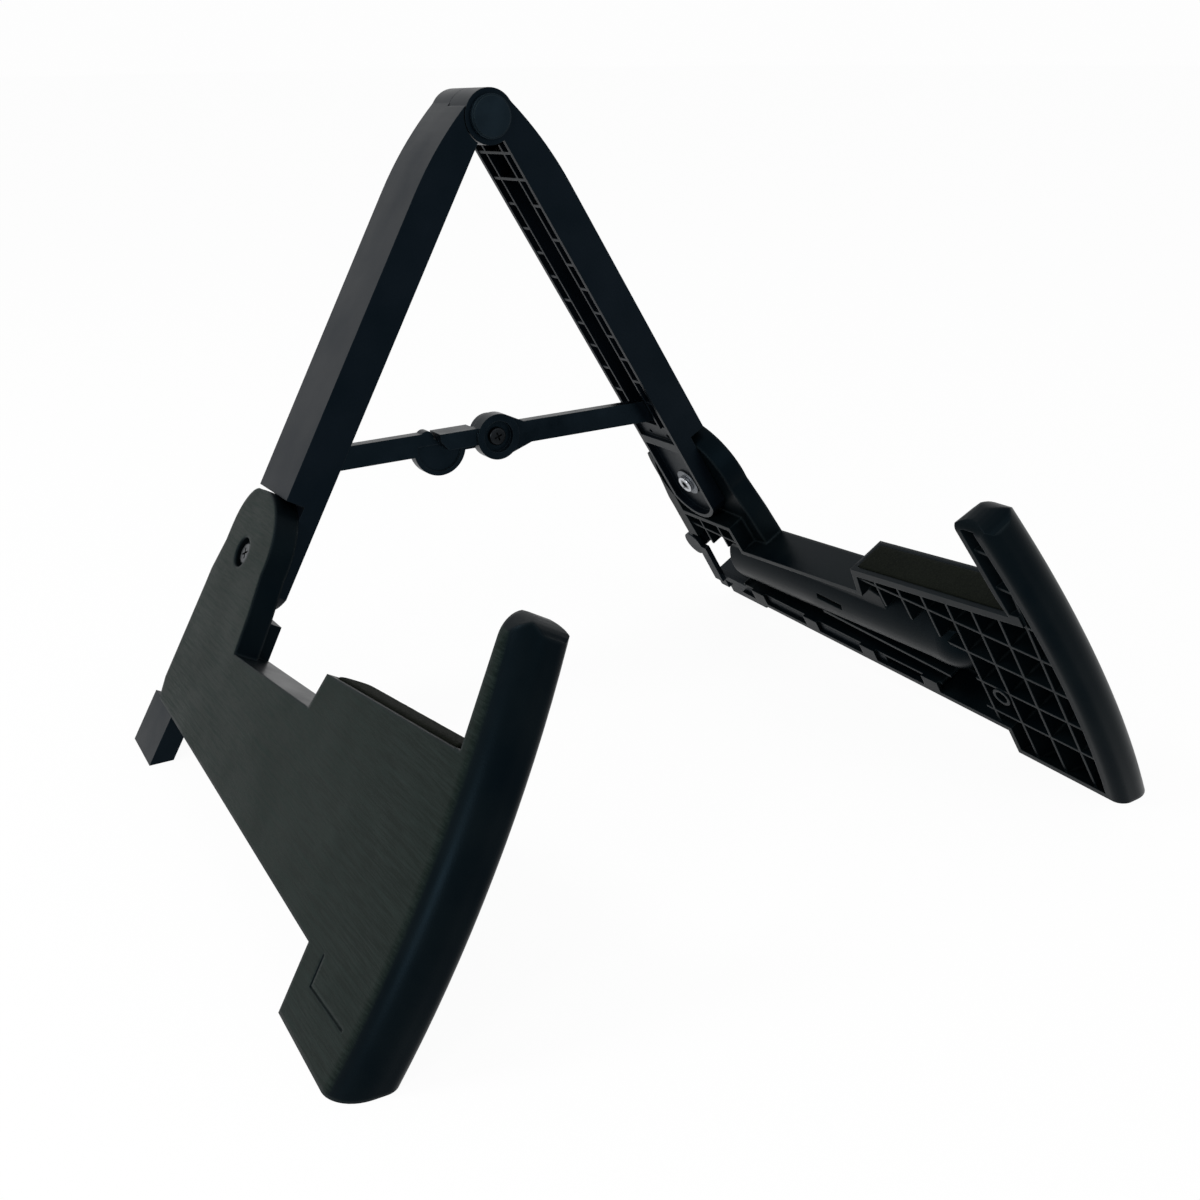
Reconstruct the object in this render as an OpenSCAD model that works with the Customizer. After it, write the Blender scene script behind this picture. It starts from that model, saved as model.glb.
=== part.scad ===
/* [Stance] */
// Angle of each arm from upright when the stand is open
half_open = 30; // [26:0.5:33]
// Angle that the whole frame leans back
lean = 3.2; // [1:0.2:6]
// Height of the elbows above the floor
elbow_height = 88.125; // [86:0.125:90]
// Distance of the top pivot behind the middle of the footprint
pivot_back = 126.9; // [120:0.1:134]

/* [Upper arms] */
// Distance from the top pivot to the elbow
elbow_reach = 230; // [222:1:240]
// Width of an arm, front to back
arm_w = 38; // [36:0.5:40]
// Thickness of an arm
arm_t = 18.8; // [18:0.2:20]
// Gap between the inner faces and the middle plane
fold_gap = 0.4; // [0.3:0.1:0.8]
// Thickness of the arm walls
arm_wall = 2.4; // [1.8:0.1:3]
// Radius of the top knuckles
knuckle_r = 12.7; // [12:0.1:14]
// Length over which the outer face curves in to the knuckle
crown_len = 48; // [42:1:54]
// Spacing of the cross ribs
rib_step = 14.5; // [13:0.5:16]
// Thickness of the ribs
rib_t = 1.5; // [1:0.1:2]
// Number of cross ribs down the arm
rib_n = 11; // [8:1:11]
// Width of the trough that takes the folded links
trough_w = 17; // [16:0.5:19]
// Thickness of the elbow lug
lug_t = 9.4; // [8:0.2:10]
// Radius of the elbow lug's end
lug_r = 22.6; // [20:0.2:22.8]

/* [Top pivot] */
// Radius of the top pin
apex_pin_r = 4; // [3:0.1:5]
// Radius of the caps on the top pin
cap_r = 10; // [9:0.2:11]
// Thickness of the caps
cap_t = 2.6; // [2:0.1:3.5]
// Gap between the two knuckles
lap_gap = 0.3; // [0.2:0.05:0.5]
// Gap round a knuckle
knuckle_gap = 0.5; // [0.3:0.1:0.8]
// Running clearance of pins
run = 0.06; // [0.03:0.01:0.1]
// Clearance of parts that rest on each other
rest_gap = 0.3; // [0.2:0.05:0.4]

/* [Strut] */
// Distance of the link pivot above the elbow
link_up = 49; // [47:0.5:54]
// Distance of the link pivot from the middle plane
link_in = 9; // [8.5:0.1:9.5]
// Height of a link
link_h = 11.2; // [10.6:0.2:12]
// Thickness of a link
link_t = 6; // [5:0.1:6.5]
// Radius of the hub
hub_r = 11.6; // [10:0.2:12]
// Extra thickness of the hub at the front
hub_extra = 1.2; // [0.8:0.1:1.6]
// Distance from the hub to the lobe
lobe_dist = 29; // [27:0.5:31]
// Radius of the lobe
lobe_r = 14; // [12:0.2:14]
// Distance that the tongue reaches past the hub
tongue_len = 31.2; // [30:0.2:31.6]
// Height of the tongue
tongue_h = 8.4; // [7:0.2:9]
// Thickness of the plate on the tongue that stops the left link
stop_t = 3; // [2.4:0.1:3.4]
// Radius of the link pins
link_pin_r = 2.5; // [2:0.1:3]
// Radius of the hub screw
hub_screw_r = 2.4; // [2:0.1:3]
// Radius of the hub screw head
hub_head_r = 4.6; // [4:0.1:5.5]

/* [Lower legs] */
// Thickness of a lower leg
leg_t = 21.6; // [21:0.2:23]
// Thickness of the outer panel
panel_t = 2.6; // [2:0.1:3.5]
// Thickness of the leg walls
leg_wall = 2.8; // [2.2:0.1:3.4]
// Thickness of the crossing ribs
web_t = 1.4; // [1:0.1:2]
// Spacing of the ribs that run with the bottom edge
web_step_a = 19.8; // [18:0.2:22]
// Height of the lowest of them
web_low = 10; // [9:0.5:12]
// Spacing of the ribs that run across
web_step_b = 16.9; // [15:0.1:20]
// Distance of the first of them in front of the elbow
web_first = 42.6; // [40:0.2:46]
// Distance of the ring boss in front of the elbow
ring_x = 206; // [202:1:210]
// Distance of the ring boss below the elbow
ring_drop = 74; // [70:1:77]
// Radius of the ring boss
ring_r = 5; // [4.4:0.2:5.6]
// Radius of the ring boss's bore
ring_bore_r = 3.4; // [3:0.2:3.8]
// Radius of the curved front edge
front_r = 400; // [390:5:410]
// Distance that the front edge reaches past the elbow
front_reach = 264; // [260:1:267]
// Distance of the front edge's middle below the elbow
front_mid = 70; // [67:1:73]
// Radius of the soft outer corner of the front edge
front_soft = 12; // [10:0.5:12.5]
// Radius of its inner corner
front_soft_in = 5.4; // [4:0.2:6]
// Thickness of the wall behind the front edge
front_wall = 8.4; // [8:0.1:9]
// Radius of the rounded top of the post at its outer side
post_soft = 11; // [8:0.5:12]
// Radius of the rounded top of the post at its inner side
post_soft_in = 5; // [3:0.5:8]
// Height of the ear above the elbow
ear_h = 30.5; // [29:0.5:31]
// Distance of the back edge behind the elbow
back_reach = 28; // [27:0.5:30]
// Distance from the elbow down to the bottom edge
bottom_drop = 86.2; // [84:0.2:88]
// Distance of the foot's back face in front of the elbow
foot_start = 200.5; // [196:0.5:205]
// Depth of the ledge below the elbow at its back
ledge_drop = 40; // [38:0.5:41]
// Angle of the ledge
ledge_rise = 4.2; // [3.6:0.2:5]
// Depth of the block below the elbow that closes the ear's inner side
block_drop = 24; // [22:0.5:25]
// Distance of the pad step in front of the elbow
step_x = 131; // [127:0.5:135]
// Distance of the step's top below the elbow
step_top = 17.5; // [16:0.5:19]
// Distance of the post's back face in front of the elbow, at the outer side of its top
post_back = 236; // [234:0.5:238]
// Height of the post above the elbow
post_top = 44; // [42:0.5:47]
// Angle of the pad surface
pad_rise = 5.5; // [4:0.5:7]
// Angle that the post's back face leans back
post_lean = 10; // [8:0.5:11]
// Angle that the post's back face slants across its thickness
post_slant = 15; // [11:0.5:17]

/* [Elbows] */
// Radius of the elbow screw
elbow_r = 3; // [2.5:0.1:3.5]
// Radius of the elbow screw head
elbow_head_r = 5.6; // [5:0.1:6]
// Radius of the recess for the elbow screw head
recess_r = 7.4; // [6.8:0.1:8]
// Depth of that recess
recess_d = 4.2; // [3.6:0.1:4.8]
// Radius of the washer
washer_r = 8; // [7:0.1:8.6]
// Thickness of the washer
washer_t = 1; // [0.8:0.1:1.4]
// Radius of the nut
nut_r = 5; // [4.4:0.1:5.4]
// Thickness of the nut
nut_t = 2.4; // [2:0.1:2.8]
// Radius of the pocket round the nut
nut_pocket_r = 12; // [11:0.2:13]

/* [Pads] */
// Thickness of a foam pad
pad_t = 3.6; // [3:0.1:5]
// Distance that a pad stands proud of its seat
pad_proud = 1.4; // [1:0.1:2.4]

/* [Rear feet] */
// Radius of the half-round rail above the slide
rail_r = 20; // [19:0.5:20]
// Distance of that rail's middle below the elbow
rail_drop = 59.5; // [58:0.5:61]
// Distance of the rail's back end in front of the elbow
rail_back = 5; // [4:0.5:8]
// Distance of the middle of its nose in front of the elbow
rail_front = 172; // [168:1:174]
// Height of its lower edge above the bottom edge
rail_low = 16.5; // [15:0.5:18]
// Thickness of the rail's wall
rail_wall = 2.2; // [1.8:0.1:2.6]
// Distance of the back end of the long slot in the rail in front of the elbow
slot_start = 80; // [76:1:84]
// Distance of its front end
slot_end = 167; // [162:1:168]
// Height of the strip that slides
strip_h = 4.6; // [4:0.1:4.8]
// Thickness of that strip
strip_t = 3.4; // [3:0.1:4]
// Distance that the strip reaches in front of the elbow
strip_reach = 118; // [105:1:120]
// Sliding clearance of the strip
slide_gap = 0.25; // [0.2:0.05:0.3]
// Thickness of the bridges that hold the strip in
bridge_t = 1.6; // [1.4:0.1:2]
// Length of each bridge
bridge_l = 11; // [8:0.5:12]
// Distance of the first bridge in front of the elbow
bridge_first = 9.5; // [8:0.5:12]
// Spacing of the bridges
bridge_step = 45.6; // [44:0.2:47]
// Height of the roof above the strip
roof_up = 8.3; // [8.2:0.1:9]
// Width of the foot block, front to back
block_w = 32; // [29:0.5:34]
// Thickness of the foot block
block_t = 10; // [8:0.5:11]
// Width of the upright bar
bar_w = 7.5; // [6:0.5:9]
// Thickness of the upright bar and its knob
bar_t = 3; // [2.6:0.1:3.4]
// Radius of the knob on the upright bar
knob_r = 7.4; // [6.8:0.1:8]
// Thickness of the plate below the bottom edge
plate_t = 3.2; // [2.8:0.1:4]

/* [Hidden] */
$fn = 64;
big = 400;
e = 0.01;
pivot_height = elbow_height + elbow_reach * cos(half_open) * cos(lean);
link_drop = elbow_reach - link_up;
half_w = arm_w / 2;
arm_out = fold_gap + arm_t;
leg_out = fold_gap + leg_t;
crown_r = (pow(crown_len, 2) + pow(arm_out - knuckle_r, 2)) / (2 * (arm_out - knuckle_r));
floor_slope = atan(tan(lean) / cos(half_open));
link_len = link_drop * sin(half_open) + link_in * cos(half_open);
hub_drop = link_drop * cos(half_open) - link_in * sin(half_open);
shoulder_y = ear_h + 1;
front_x = front_reach - front_r;
lay = fold_gap + lug_t + rest_gap;
pad_seat = pad_t - pad_proud;
pad_w = leg_t - 2 * leg_wall;
pad_len = post_back - step_x - 3;
ledge_x = 39;
strip_z = fold_gap + bridge_t + slide_gap;
knob_y = 37.6 - knob_r;
ear_r = ear_h + 0.6;
eye_r = link_h / 2;

// The frame of one side: x forward, y up along the arm, z outward, from the top pivot
module left_side() {
    translate([0, pivot_back, pivot_height]) rotate([-lean, 0, 0]) rotate([0, half_open, 0]) rotate([90, 0, -90]) children();
}

module right_side() {
    mirror([1, 0, 0]) left_side() children();
}

// The frame of the strut: x right, y up, z forward, from the top pivot
module middle() {
    translate([0, pivot_back, pivot_height]) rotate([-lean, 0, 0]) rotate([90, 0, 0]) children();
}

module at_elbow() {
    translate([0, -elbow_reach, 0]) children();
}

// A round bar along x
module bar_x(x0, x1, r) {
    translate([x0, 0, 0]) rotate([0, 90, 0]) cylinder(h = x1 - x0, r = r);
}

module arm_side(inset) {
    n = 9;
    top = [for (i = [0:n]) let (y = -crown_len * i / n)
        [y, fold_gap - crown_r + arm_t + sqrt(pow(crown_r, 2) - pow(crown_len + y, 2)) - inset]];
    polygon(concat(top, [[-elbow_reach - big, arm_out - inset], [-elbow_reach - big, fold_gap - (inset > 0 ? 2 : 0)],
        [-knuckle_r * 0.2, fold_gap - (inset > 0 ? 2 : 0)]]));
}

// The arm's side shape, extruded from x0 to x1
module arm_bar(x0, x1, inset) {
    translate([x0, 0, 0]) rotate([90, 0, 90]) linear_extrude(x1 - x0) arm_side(inset);
}

module arm_cross_ribs() {
    for (i = [0:rib_n - 1]) {
        y = -20 - i * rib_step;
        low = i < 2 ? fold_gap + 0.4 : 11;
        translate([-half_w + arm_wall - e, y - rib_t / 2, fold_gap + 0.4])
            cube([half_w - arm_wall - trough_w / 2, rib_t, arm_t - arm_wall]);
        translate([trough_w / 2, y - rib_t / 2 - (i < 3 ? 0 : rib_step / 3), fold_gap + 0.4])
            cube([half_w - arm_wall - trough_w / 2, rib_t, arm_t - arm_wall]);
        if (i < 3) translate([-trough_w / 2 - e, y - rib_t / 2, low]) cube([trough_w + 2 * e, rib_t, arm_out - arm_wall - low + e]);
    }
}

module arm_long_ribs() {
    for (s = [-1, 1])
        translate([s * (trough_w / 2 + rib_t / 2) - rib_t / 2, -link_drop - eye_r - 2, fold_gap + 0.4])
            cube([rib_t, link_drop - 8, arm_t - arm_wall]);
    translate([-rib_t / 2, -20 - 2 * rib_step, 11]) cube([rib_t, 2 * rib_step + 8, arm_out - arm_wall - 11 + e]);
}

module arm_body(front) {
    mate = knuckle_r + knuckle_gap;
    x0 = front > 0 ? lap_gap / 2 : -half_w;
    difference() {
        union() {
            difference() {
                intersection() {
                    union() {
                        difference() {
                            arm_bar(-half_w, half_w, 0);
                            arm_bar(-half_w + arm_wall, half_w - arm_wall, arm_wall);
                        }
                        intersection() {
                            arm_bar(-half_w, half_w, 0.5);
                            union() {
                                arm_cross_ribs();
                                arm_long_ribs();
                            }
                        }
                        // web plate, shoulder block and lug
                        translate([-half_w, -elbow_reach + shoulder_y, fold_gap])
                            cube([arm_w, elbow_reach - shoulder_y - link_drop - eye_r - 1.2, arm_t - arm_wall / 2]);
                        translate([-half_w, -elbow_reach, fold_gap]) cube([arm_w, shoulder_y + 2, lug_t]);
                    }
                    translate([-half_w, -elbow_reach, -e]) cube([arm_w, elbow_reach + 2 * knuckle_r, arm_out + 1]);
                }
                // shoulder that clears the ear
                translate([-half_w - 1, -elbow_reach - 1, fold_gap + lug_t]) cube([arm_w + 2, shoulder_y + 1, arm_t]);
                // the other arm's knuckle
                bar_x(front > 0 ? -half_w - 1 : -lap_gap / 2, front > 0 ? lap_gap / 2 : half_w + 1, mate);
            }
            // own knuckle, with its web into the arm
            bar_x(x0, x0 + half_w - lap_gap / 2, knuckle_r);
            at_elbow() intersection() {
                translate([0, 0, fold_gap]) cylinder(h = lug_t, r = lug_r);
                translate([-half_w, -big, fold_gap]) cube([arm_w, big + 1, lug_t]);
            }
            // bosses that hold the link pin
            for (s = [-1, 1]) translate([s * (trough_w / 2 + 1.6) - 1.6, -link_drop, link_in]) bar_x(0, 3.2, link_pin_r + 2.4);
        }
        bar_x(-half_w - 1, half_w + 1, apex_pin_r + run);
        // the trough stays open down to the link pivot
        translate([-trough_w / 2, -link_drop - eye_r - 1.2, -e]) cube([trough_w, link_drop - 51.2 - rib_step, arm_out - arm_wall]);
        translate([0, -link_drop, link_in]) bar_x(-trough_w / 2 - 3.4, trough_w / 2 + 3.4, link_pin_r);
        at_elbow() translate([0, 0, -1]) cylinder(h = arm_t, r = elbow_r + run);
        // sunk face round the nut
        at_elbow() intersection() {
            translate([-half_w + arm_wall, -big, fold_gap - 1]) cube([arm_w - 2 * arm_wall, big + shoulder_y - 4, 1 + nut_t + washer_t + 0.4]);
            translate([0, 0, fold_gap - 1]) union() {
                cylinder(h = big, r = lug_r - 2.2);
                translate([-half_w, 0, 0]) cube([arm_w, big, big]);
            }
        }
        // sunk plate above it, with two screw holes
        at_elbow() translate([-half_w + arm_wall, shoulder_y + 1.5, fold_gap - 1]) cube([arm_w - 2 * arm_wall, elbow_reach - link_drop - eye_r - shoulder_y - 2.7 + e, 3]);
        at_elbow() for (x = [-6.6, 10]) translate([x, shoulder_y + 4.5, fold_gap]) cylinder(h = 8, r = 1.3);
    }
}

module left_arm() { color("#23282a") left_side() arm_body(-1); }

module right_arm() { color("#23282a") right_side() arm_body(1); }

module apex_pin() {
    color("#2b3033") left_side() {
        bar_x(-half_w - 1.2, half_w + 0.5, apex_pin_r);
        bar_x(half_w, half_w + cap_t - 0.8, cap_r);
        bar_x(half_w + cap_t - 0.8 - e, half_w + cap_t, cap_r - 0.8);
    }
}

module apex_cap() {
    color("#2b3033") left_side() difference() {
        union() {
            bar_x(-half_w - cap_t + 0.8, -half_w - rest_gap / 2, cap_r);
            bar_x(-half_w - cap_t, -half_w - cap_t + 0.8 + e, cap_r - 0.8);
        }
        bar_x(-half_w - 1.2, -half_w + 1, apex_pin_r);
    }
}

// A flat link from the hub at the origin to an eye at x = link_len
module link_bar() {
    difference() {
        union() {
            translate([0, -link_h / 2, 0]) cube([link_len, link_h, link_t]);
            translate([link_len, 0, 0]) cylinder(h = link_t, r = link_h / 2);
        }
        translate([link_len, 0, -1]) cylinder(h = link_t + 2, r = link_pin_r + run);
    }
}

module left_link() {
    color("#202426") middle() translate([0, -hub_drop, -link_t - rest_gap]) difference() {
        union() {
            difference() {
                union() {
                    mirror([1, 0, 0]) link_bar();
                    translate([-lobe_dist, -2.6, 0]) cylinder(h = link_t, r = lobe_r);
                }
                translate([-big, link_h / 2, -1]) cube([2 * big, big, link_t + 2]);
                // step that the tongue's plate rests on
                translate([-tongue_len - 1.8, link_h / 2 - stop_t - rest_gap, -1]) cube([big, big, link_t + 2]);
            }
            cylinder(h = link_t, r = hub_r - 1.6);
            translate([-tongue_len - 4.4, 3.2, 0]) cylinder(h = link_t, r = 3.6);
        }
        translate([0, 0, -1]) cylinder(h = link_t + 2, r = hub_screw_r + 0.6);
        translate([-lobe_dist, -2.6, link_t - 1.2]) intersection() {
            cylinder(h = 2, r = lobe_r - 2.2);
            translate([-lobe_r, -lobe_r, 0]) cube([2 * lobe_r, lobe_r + 2, 2]);
        }
    }
}

module right_link() {
    color("#202426") middle() translate([0, -hub_drop, rest_gap]) difference() {
        union() {
            link_bar();
            cylinder(h = link_t + hub_extra, r = hub_r);
            // neck that runs from the hub into the link
            linear_extrude(link_t) polygon([[0, hub_r - 0.3], [6, hub_r - 1.6], [15, link_h / 2], [19, -link_h / 2], [6, -hub_r + 1.6], [0, -hub_r + 0.3]]);
            // tongue with the plate that stops the left link
            linear_extrude(link_t) polygon([[0, link_h / 2], [-tongue_len, link_h / 2], [-tongue_len, 2.2], [-tongue_len + 4, link_h / 2 - tongue_h], [0, link_h / 2 - tongue_h]]);
            translate([-tongue_len, link_h / 2 - stop_t, -link_t - 2 * rest_gap]) cube([tongue_len - hub_r + 0.1, stop_t, 2 * link_t + 2 * rest_gap]);
        }
        translate([0, 0, link_t + hub_extra - 3]) cylinder(h = 4, r = hub_r - 3.6);
        translate([0, 0, -1]) cylinder(h = link_t + 3, r = hub_screw_r);
    }
}

module hub_screw() {
    color("#3a4044") middle() translate([0, -hub_drop, rest_gap]) difference() {
        union() {
            cylinder(h = link_t + hub_extra - 2, r = hub_screw_r);
            translate([0, 0, link_t + hub_extra - 3]) cylinder(h = 2.2, r = hub_head_r);
        }
        for (a = [0, 90]) rotate(a + 20) translate([-2.6, -0.5, link_t + hub_extra - 1.8]) cube([5.2, 1, 3]);
    }
}

module link_pin() {
    translate([0, -link_drop, link_in]) bar_x(-trough_w / 2 - 3.2, trough_w / 2 + 3.2, link_pin_r);
}

module left_link_pin() { color("#4a4f52") left_side() link_pin(); }

module right_link_pin() { color("#4a4f52") right_side() link_pin(); }

// Height of the bottom edge, the ledge and the pad line at a place along the leg
function bottom_y(x) = -bottom_drop - x * tan(floor_slope);
function ledge_y(x) = -ledge_drop + (x - ledge_x) * tan(ledge_rise);
function pad_y(x) = -step_top + (x - step_x) * tan(pad_rise);

// The leg's outline seen from the side, without the ear, set in by d
module leg_outline(d) {
    polygon([
        [-back_reach - 1.5 + d, bottom_y(0) + 12], [-back_reach + d, -block_drop - d], [back_reach - 2 - d, -block_drop - d],
        [back_reach - 1 - d, ledge_y(back_reach) - d],
        [step_x - 4 + d * 0.9, ledge_y(step_x - 4) - d], [step_x + d, pad_y(step_x) - d],
        [post_back + 3 + d, pad_y(post_back) - d], [post_back - 12 + d, post_top - 8 - d],
        for (a = [165:-15:15]) [post_back + 1 + (11.5 - d) * cos(a), post_top - 6 - d + 6 * sin(a)],
        [front_reach + post_top, post_top / 2], [front_reach + post_top, -3 * bottom_drop],
        [foot_start + d, -3 * bottom_drop], [foot_start + d, bottom_y(foot_start) + d],
        [-back_reach + 2 + d, bottom_y(-back_reach) + d]]);
}

// Frames that lie on the pad seat and on the slanted back face of the post
module on_pad() {
    translate([step_x, pad_y(step_x), leg_out]) rotate(pad_rise) children();
}

module on_post() {
    translate([post_back, post_top - 10, leg_out]) rotate(post_lean) rotate([0, post_slant, 0]) children();
}

// What lies behind the post's back face, set in by d
module behind_post(d) {
    intersection() {
        on_post() translate([-post_top, -2 * post_top, -2 * leg_t]) cube([post_top + d, 4 * post_top, 3 * leg_t]);
        on_pad() translate([0, -e, -3 * leg_t]) cube([big, big, 4 * leg_t]);
    }
}

module ear_outline() {
    polygon([
        for (a = [-5:5:100]) [ear_r * cos(a), ear_r * sin(a)],
        for (a = [100:10:180]) [-8 + 16.5 * cos(a), 8 + (ear_h - 8) * sin(a)],
        [-24.5, 0], [-back_reach, -16], [-back_reach, -44], [ledge_x - 1, -44], [ledge_x - 1, -ledge_drop], [35.5, -22]]);
}

module front_edge(r) {
    translate([front_x, -front_mid, 0]) cylinder(h = big, r = r, center = true, $fn = 240);
}

// The curved front edge with its soft outer corner
module front_rib() {
    s = front_soft;
    q = front_soft_in;
    translate([front_x, -front_mid, fold_gap]) rotate([0, 0, -12]) rotate_extrude(angle = 32, $fn = 240) {
        translate([front_r - s, 0]) square([s - q, leg_t - s]);
        translate([front_r - s, q]) square([s, leg_t - s - q]);
        translate([front_r - q, q]) circle(q);
        translate([front_r - s - 2, 0]) square([2 + e, leg_t]);
        translate([front_r - s, leg_t - s]) intersection() {
            circle(s, $fn = 64);
            translate([-1, -1]) square(s + 2);
        }
    }
}

// Rounds the top of the post across its thickness
module post_round() {
    so = post_soft;
    si = post_soft_in;
    translate([-big, 0, 0]) rotate([90, 0, 90]) linear_extrude(2 * big) union() {
        translate([-big, fold_gap]) square([big + post_top - so, leg_t]);
        translate([0, fold_gap]) square([post_top - si, leg_t - so]);
        translate([0, fold_gap + si]) square([post_top, leg_t - so - si]);
        translate([post_top - so, leg_out - so]) circle(so);
        translate([post_top - si, fold_gap + si]) circle(si);
    }
}

// All that is more than h above the floor, in the frame of the elbow
module above(h) {
    translate([0, elbow_reach, 0]) rotate([-90, 0, 0]) rotate([0, 0, 90]) rotate([0, -half_open, 0]) rotate([lean, 0, 0])
        translate([-big, -big, h - pivot_height]) cube(2 * big);
}

// The space inside the walls, open on the inner side
module pocket(d) {
    difference() {
        intersection() {
            translate([0, 0, -1]) linear_extrude(leg_out - panel_t + 1) leg_outline(leg_wall - d);
            front_edge(front_r - front_wall + d);
            above(3 - d);
            // keeps a wall under the rounded top of the post
            translate([0, d - leg_wall, d - panel_t]) post_round();
        }
        behind_post(leg_wall - d);
        on_pad() translate([-3, -pad_seat - 2.4 + d, -40]) cube([pad_len + 16, 6, 50]);
    }
}

// The frame of the slide: the bottom edge lies on the x axis
module on_bottom() {
    translate([0, -bottom_drop, 0]) rotate(-floor_slope) children();
}

module leg_webs() {
    w = leg_t - panel_t - 1;
    for (i = [0:6]) on_bottom() translate([-back_reach, web_low + i * web_step_a, leg_wall - e]) cube([front_reach + 2 * back_reach, web_t, w]);
    for (i = [-3:12]) translate([web_first + i * web_step_b, -2 * bottom_drop, leg_wall - e]) cube([web_t, 4 * bottom_drop, w]);
}

// The outline of the rail and its cover, set in by d
module rail_outline(d) {
    x0 = rail_back - (d > 0 ? 1 : 0);
    x1 = rail_front + rail_r - d;
    polygon([
        [x0, bottom_y(x0) + rail_low + d], [x0, -rail_drop + 14 - d], [22 - d / 2, ledge_y(22) - 1 - d],
        [step_x - 4, ledge_y(step_x - 4) - 1 - d], [step_x + 6, -rail_drop + rail_r + 1 - d],
        [rail_front - 14, -rail_drop + rail_r - 1 - d], [x1 - 9.4, -rail_drop + 12 - d], [x1 - 3, -rail_drop + 2 - d],
        [x1, -rail_drop - 10], [x1 - 2, bottom_y(x1) + rail_low + d]]);
}

// The area of the rail, its cover and the strip's channel, which has no ribs
module under_cover() {
    rail_outline(-0.5);
    on_bottom() translate([rail_back - 2, leg_wall - 0.6]) square([rail_front + rail_r - rail_back, rail_low]);
}

// The half-round rail with its nose, and the cover that joins it to the ledge, set in by d
module rail_form(d) {
    z = fold_gap + 0.2 + rail_r;
    intersection() {
        translate([0, 0, fold_gap]) linear_extrude(leg_t - (d > 0 ? panel_t : 1)) rail_outline(d);
        union() {
            translate([0, -rail_drop, z]) rotate([0, 90, 0]) rotate(180) rotate_extrude() {
                square([rail_r - d, rail_front]);
                translate([0, rail_front]) intersection() {
                    circle(r = rail_r - d);
                    square(rail_r);
                }
            }
            translate([0, -rail_drop + 12, fold_gap + 4.6 + d]) cube([step_x + 6 - d, rail_r, leg_t]);
        }
    }
}

module leg_body() {
    difference() {
        union() {
            difference() {
                intersection() {
                    translate([0, 0, fold_gap]) linear_extrude(leg_t) leg_outline(0);
                    front_edge(front_r);
                    union() {
                        front_edge(front_r - front_soft - 1);
                        front_rib();
                    }
                    post_round();
                }
                behind_post(0);
                pocket(0);
            }
            // ribs that cross
            difference() {
                intersection() {
                    pocket(0.5);
                    translate([0, 0, leg_out - panel_t + e - leg_t + 1]) leg_webs();
                }
                translate([0, 0, -1]) linear_extrude(leg_out) under_cover();
            }
            // ear plate
            translate([0, 0, lay]) linear_extrude(leg_out - lay) ear_outline();
            // back wall that stops the arm
            intersection() {
                translate([0, 0, fold_gap]) linear_extrude(leg_t) ear_outline();
                translate([-back_reach, -44, fold_gap]) cube([back_reach - half_w - rest_gap, 62, leg_t]);
            }
            rail_form(0);
            // roof of the strip's channel
            on_bottom() translate([2, roof_up, fold_gap + bridge_t]) cube([bridge_first + 3 * bridge_step + bridge_l, 1.6, leg_t - bridge_t - 1]);
            // small ring boss in the ribs
            translate([ring_x, -ring_drop, fold_gap + 0.6]) cylinder(h = leg_t - 2, r = ring_r);
        }
        rail_form(rail_wall);
        // slots in the rail
        on_bottom() translate([0, 0, -1]) linear_extrude(leg_t * 0.6) {
            translate([slot_start, rail_r * 1.75]) square([rail_r, rail_r * 0.17]);
            polygon([[slot_start, rail_r * 1.25], [slot_end - rail_r * 0.2, rail_r * 1.58], [slot_end, rail_r * 1.45], [slot_end, rail_r * 1.05], [slot_start, rail_r * 1.2]]);
        }
        // room for the arm's lug
        translate([0, 0, -1]) cylinder(h = lay + 1, r = lug_r + 0.6);
        // bore and recess of the elbow screw
        translate([0, 0, -1]) cylinder(h = leg_out + 2, r = elbow_r + run);
        translate([0, 0, leg_out - recess_d]) cylinder(h = recess_d + 1, r = recess_r);
        // channel of the strip
        on_bottom() translate([-back_reach - 10, leg_wall, -1])
            cube([back_reach + 10 + strip_reach + 2, strip_h + 2 * slide_gap, 1 + strip_z + strip_t + slide_gap]);
        // the back corner is open on the inner side for the upright bar
        on_bottom() translate([-back_reach - 10, leg_wall, -1]) cube([back_reach + 12, 36, leg_out - panel_t + 1]);
        on_bottom() translate([-back_reach - 10, -5, -1]) cube([back_reach + 7, 10, leg_out - panel_t + 1]);
        // pad seat
        on_pad() translate([3, -pad_seat, -leg_wall - pad_w - 0.4]) cube([pad_len + 0.4, 8, pad_w + 0.4]);
        // ring boss bore
        translate([ring_x, -ring_drop, -1]) cylinder(h = 12, r = ring_bore_r);
        // groove on the foot
        translate([foot_start + 13, bottom_y(foot_start) - 11, leg_out - 0.6]) {
            cube([1, 13, 1]);
            cube([31, 1, 1]);
        }
    }
    // thin lip along the long slot
    on_bottom() translate([0, 0, fold_gap + 1.4]) linear_extrude(rail_r / 2)
        polygon([[slot_start - 2, rail_r * 1.13], [slot_start - 2, rail_r * 1.23], [slot_end + 3, rail_r * 1.07], [slot_end + 3, rail_r * 0.99]]);
    // bridges that hold the strip in its channel
    on_bottom() for (i = [0:3])
        translate([bridge_first + i * bridge_step, 1, fold_gap]) cube([bridge_l, roof_up + 0.6, bridge_t + e]);
}

// Removes all that lies below the floor
module on_floor() {
    difference() {
        children();
        translate([-big, -big, -big]) cube([2 * big, 2 * big, big]);
    }
}

module left_leg() { color("#1d2224") on_floor() left_side() at_elbow() leg_body(); }

module right_leg() { color("#1d2224") on_floor() right_side() at_elbow() leg_body(); }

module pad() {
    at_elbow() on_pad() translate([3.2, -pad_seat + 0.02, -leg_wall - pad_w - 0.2]) cube([pad_len, pad_t, pad_w]);
}

module left_pad() { color("#2a2523") left_side() pad(); }

module right_pad() { color("#2a2523") right_side() pad(); }

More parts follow.
